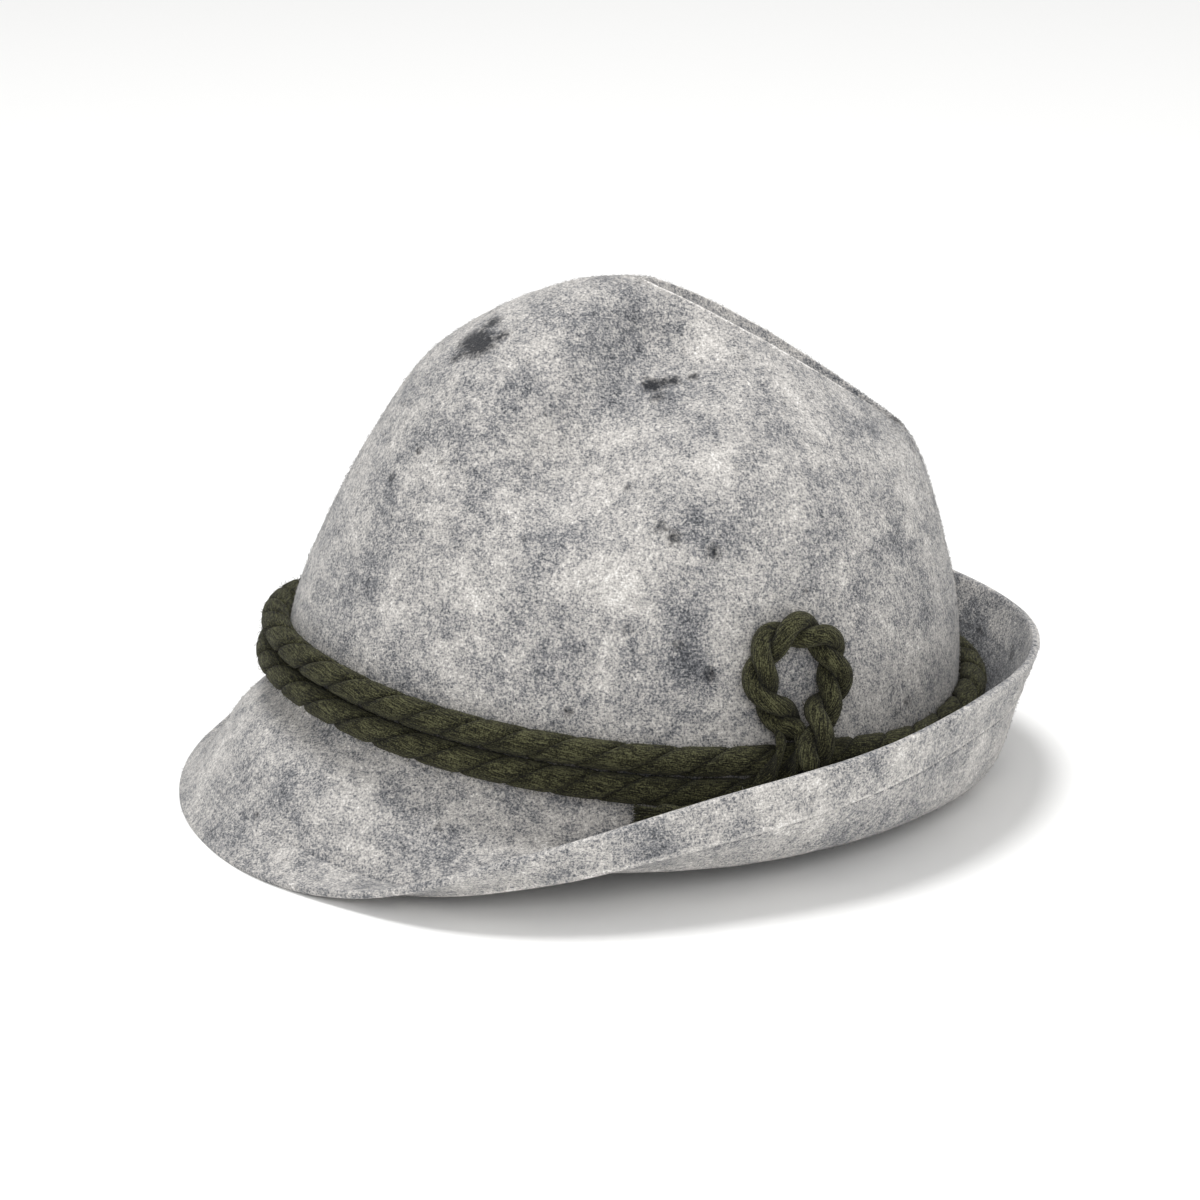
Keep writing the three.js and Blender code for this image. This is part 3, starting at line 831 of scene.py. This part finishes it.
# Yarns that spread out of the tail's cut end
def frayedYarns(points, outward, generator):
    centre, normal, at, length = evenSteps(points, outward, tail["yarnStep"], False)
    tangent = tangents(centre, False)
    side = np.cross(tangent, normal)
    rings, fibre = [], []
    theta = np.linspace(0, 2 * math.pi, tail["yarnSides"], endpoint=False)
    for yarn in range(tail["yarns"]):
        turn, reach = generator.uniform(0, 2 * math.pi), math.sqrt(generator.uniform(0, 1))
        start = length - tail["yarnLength"] * generator.uniform(*tail["yarnShares"])
        chosen = np.where(at >= start)[0]
        share = (at[chosen] - at[chosen[0]]) / (length - at[chosen[0]])
        spread = tail["yarnSpread"] * (1 + share) * reach
        waveTurn, waveStart = generator.uniform(*tail["yarnWaveTurn"]), generator.uniform(0, 6)
        wave = tail["yarnWave"] * np.sin(share * waveTurn + waveStart)
        up, across = normal[chosen], side[chosen]
        middle = centre[chosen] + spread[:, None] * (math.cos(turn) * up + math.sin(turn) * across)
        middle = middle + wave[:, None] * up
        radius = tail["yarnRadius"] * np.sqrt(np.clip(1 - share ** 6, 0.02, 1))  # drawn in at the tip
        ring = np.cos(theta)[None, :, None] * up[:, None] + np.sin(theta)[None, :, None] * across[:, None]
        rings.append(middle[:, None] + radius[:, None, None] * ring)
        # each yarn has a place of its own in the wool's pattern
        shiftAlong, shiftAcross = tail["yarnShift"]
        along = at[chosen][:, None] + yarn * shiftAlong
        around = theta[None, :] * tail["yarnAround"]
        fibre.append(np.stack(np.broadcast_arrays(along, yarn * shiftAcross, around, 0.0), -1))
    return rings, fibre


def makeTail():
    points, outward = routePoints(tailRoute, 120)
    twisted = round(tail["twistedShare"] * len(points))
    rings, fibre = twistPlies(points[:twisted], outward[:twisted], False, tail, start=tail["start"])
    yarns, yarnFibre = frayedYarns(points, outward, np.random.default_rng(7))
    groups = [(roundEnds(rings, tail["tip"]), fibre, False), (yarns, yarnFibre, False)]
    return cordMesh("band_tail", groups, ["cord_tail"])


makeLoop()
for index, angle in enumerate(wrapAngles):
    makeWrap(f"band_wrap_{index + 1}", f"loop_wrap_{index + 1}", angle)
makeTail()
print("band: loop, wraps and frayed end")

# Loose fibres: short bent hairs of wool that stand out of the cord and of the felt's nap
nap = {
    "cordCount": 12000,
    "cordLength": 2 * mm,
    "cordRadius": 0.07 * mm,  # a few times the real thickness, so that they show
    "cordLift": 0.9,  # how steeply they stand out
    "cordFacing": 0.9,  # painted groove shade for the hairs, as light as the wool farthest from the grooves
    "feltCount": 31000,
    "feltLength": 1.9 * mm,
    "feltRadius": 0.06 * mm,
    "feltLift": 0.6,
    "feltClear": 0.8 * mm,  # their roots stay so far above the floor
    "leastLift": 0.2,  # of the lift above, for the flattest hair
    "shortest": 0.4,  # hair, as a share of the longest
    "bend": 0.3,  # the most that a hair bends aside, as a share of its length
    "rootDepth": 0.1,  # how deep the root sits in the wool, as a share of its length
    "droop": 0.2,  # how far the tip hangs down, as a share of its length
}


# Each hair is a closed spindle: a root, a ring of three points where it bends, and a tip
def makeHairs(name, roots, outward, material, attributes, length, radius, lift, generator):
    count = len(roots)
    sideways = unit(np.cross(outward, unit(generator.normal(size=(count, 3)))))
    direction = unit(sideways + lift * generator.uniform(nap["leastLift"], 1, (count, 1)) * outward)
    across = unit(np.cross(outward, direction))
    reach = length * generator.uniform(nap["shortest"], 1, (count, 1))
    bend = reach * generator.uniform(-nap["bend"], nap["bend"], (count, 1))
    middle = roots + direction * reach / 2 + across * bend / 2
    aside = np.cross(direction, across)
    stations = [roots - nap["rootDepth"] * reach * outward]
    for corner in range(3):
        turn = 2 * math.pi * corner / 3
        stations.append(middle + radius * (math.cos(turn) * across + math.sin(turn) * aside))
    stations.append(roots + direction * reach - nap["droop"] * reach * outward * lift)
    points = np.stack(stations, 1).reshape(-1, 3)
    points[:, 2] = np.maximum(points[:, 2], 0)
    sides = [(0, 2, 1), (0, 3, 2), (0, 1, 3), (4, 1, 2), (4, 2, 3), (4, 3, 1)]
    faces = (5 * np.arange(count)[:, None, None] + np.array(sides)).reshape(-1, 3).tolist()
    attributes = {key: np.repeat(values, 5, axis=0) for key, values in attributes.items()}
    return makePiece(name, points, faces, material, [], attributes=attributes)


def makeCordHairs():
    generator = np.random.default_rng(3)
    total = sum(share for *rest, share in woolEnds)
    chosen = []
    for points, outward, fibre, share in woolEnds:
        picked = generator.choice(len(points), max(1, round(nap["cordCount"] * share / total)))
        chosen.append((points[picked], outward[picked], fibre[picked]))
    points, outward, fibre = (np.concatenate(part) for part in zip(*chosen))
    fibre[:, :3] += generator.uniform(0, 40 * mm, (len(fibre), 3))  # a shade of its own for each
    attributes = {"fibre": fibre[:, :3], "groove": np.full((len(fibre), 3), nap["cordFacing"])}
    makeHairs("band_loose_fibres", points, outward, woolCord, attributes,
              nap["cordLength"], nap["cordRadius"], nap["cordLift"], generator)


# More hairs are drawn than kept, and fewer are kept where the crown is narrower
def makeFeltHairs():
    generator = np.random.default_rng(5)
    count = nap["feltCount"]
    angle = generator.uniform(-math.pi, math.pi, count * 3)
    row = generator.uniform(edgeRow, ridgeRow, count * 3)
    widths = crownRows[:, crownColumns.index("half")]
    size = np.where(row > 0, np.interp(row, np.arange(len(widths)), widths / widths[0]), 1.0)
    kept = generator.uniform(0, 1, count * 3) < size
    angle, row = angle[kept][:count], row[kept][:count]
    below = (row < -1) & (generator.uniform(0, 1, len(row)) < 0.5)
    outward = feltNormal(angle, row)
    points = feltPoint(angle, row) - outward * np.where(below, felt["thickness"], 0)[:, None]
    marks = feltMarks(points)
    outward = np.where(below[:, None], -outward, outward)
    points = atRest(points)
    points[:, 2] = np.maximum(points[:, 2], nap["feltClear"])
    makeHairs("felt_nap", points, atRest(outward, 0), woolFelt, {"marks": marks},
              nap["feltLength"], nap["feltRadius"], nap["feltLift"], generator)


makeCordHairs()
makeFeltHairs()
print("nap: loose fibres on felt and cord")

# Floor, lights and the room's light
stageSetup = {
    "floor": "#fbfbfa",
    "floorRoughness": 0.9,
    "floorSize": 6.0,
    "room": "#ffffff",
    "roomLight": 0.57,
}
lights = [
    {"name": "top_softbox", "place": (-0.25, -0.13, 2.0), "size": 0.7, "power": 23},
    {"name": "front_softbox", "place": (2.0, -0.26, 1.0), "size": 1.4, "power": 16},
]
lightsAim = (0, 0, 0.06)


def makeStage(setup):
    half = setup["floorSize"] / 2
    mesh = bpy.data.meshes.new("studio_floor")
    corners = [(-half, -half, 0), (half, -half, 0), (half, half, 0), (-half, half, 0)]
    mesh.from_pydata(corners, [], [(0, 1, 2, 3)])
    floor = bpy.data.objects.new("studio_floor", mesh)
    bpy.context.scene.collection.objects.link(floor)
    material = bpy.data.materials.new("paper_floor")
    material.use_nodes = True
    shader = material.node_tree.nodes["Principled BSDF"]
    shader.inputs["Base Color"].default_value = linearColour(setup["floor"])
    shader.inputs["Roughness"].default_value = setup["floorRoughness"]
    mesh.materials.append(material)
    world = bpy.data.worlds.new("studio_room")
    bpy.context.scene.world = world
    world.use_nodes = True
    background = world.node_tree.nodes["Background"]
    background.inputs["Color"].default_value = linearColour(setup["room"])
    background.inputs["Strength"].default_value = setup["roomLight"]


def makeLight(setup):
    data = bpy.data.lights.new(setup["name"], "AREA")
    data.shape = "DISK"
    data.size = setup["size"]
    data.energy = setup["power"]
    light = bpy.data.objects.new(setup["name"], data)
    place = Vector(setup["place"])
    light.location = place
    light.rotation_euler = (Vector(lightsAim) - place).to_track_quat("-Z", "Y").to_euler()
    bpy.context.scene.collection.objects.link(light)


makeStage(stageSetup)
for light in lights:
    makeLight(light)
print("stage and lights set")
